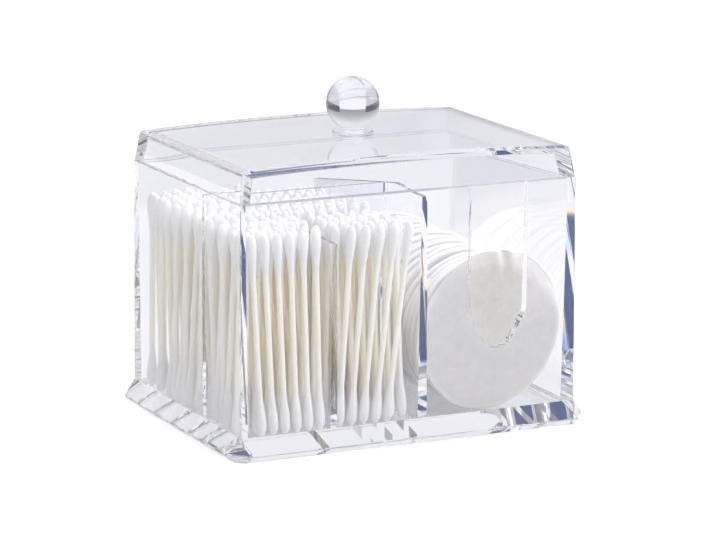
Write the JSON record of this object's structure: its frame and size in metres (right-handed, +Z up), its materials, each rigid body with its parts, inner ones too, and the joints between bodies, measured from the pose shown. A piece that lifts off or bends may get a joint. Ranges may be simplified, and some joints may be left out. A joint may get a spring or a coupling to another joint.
{
  "type": "cotton swab holder",
  "caption": "Clear box with a flared foot, swab cells, a pad compartment with a finger slot, and a domed lift-off lid with a ball knob.",
  "frame": {"origin": "middle of the underside of the foot", "axes": "+Z up, -Y towards the front, +X towards the pad compartment"},
  "size_m": [0.146, 0.1098, 0.1277],
  "materials": {
    "clear_box": "clear, polished",
    "clear_lid": "clear, polished",
    "clear_knob": "clear, polished",
    "swab": "white cotton buds on cream sticks",
    "pad": "soft white cotton"
  },
  "bodies": {
    "box": {"body": "clear_box", "swabs_front_left_01": "swab", "swabs_front_left_02": "swab", "swabs_front_left_03": "swab", "swabs_front_left_04": "swab", "swabs_front_left_05": "swab", "swabs_front_left_06": "swab", "swabs_front_right_01": "swab", "swabs_front_right_02": "swab", "swabs_front_right_03": "swab", "swabs_front_right_04": "swab", "swabs_front_right_05": "swab", "swabs_front_right_06": "swab", "swabs_back_01": "swab", "swabs_back_02": "swab", "swabs_back_03": "swab", "swabs_back_04": "swab", "swabs_back_05": "swab", "swabs_back_06": "swab", "swabs_back_07": "swab", "swabs_back_08": "swab", "swabs_back_09": "swab", "swabs_back_10": "swab", "swabs_back_11": "swab", "swabs_back_12": "swab", "pad_01": "pad", "pad_02": "pad", "pad_03": "pad", "pad_04": "pad", "pad_05": "pad", "pad_06": "pad", "pad_07": "pad", "pad_08": "pad", "pad_09": "pad", "pad_10": "pad", "pad_11": "pad", "pad_12": "pad", "pad_13": "pad", "pad_14": "pad", "pad_15": "pad", "pad_16": "pad", "pad_17": "pad", "pad_18": "pad", "pad_19": "pad", "pad_20": "pad", "pad_21": "pad", "pad_22": "pad"},
    "lid": {"lid": "clear_lid", "knob": "clear_knob"}
  },
  "joints": [
    {"name": "lid_lift", "type": "slide", "parent": "box", "child": "lid", "axis": [0, 0, 1], "range_m": [0, 0.11]}
  ]
}
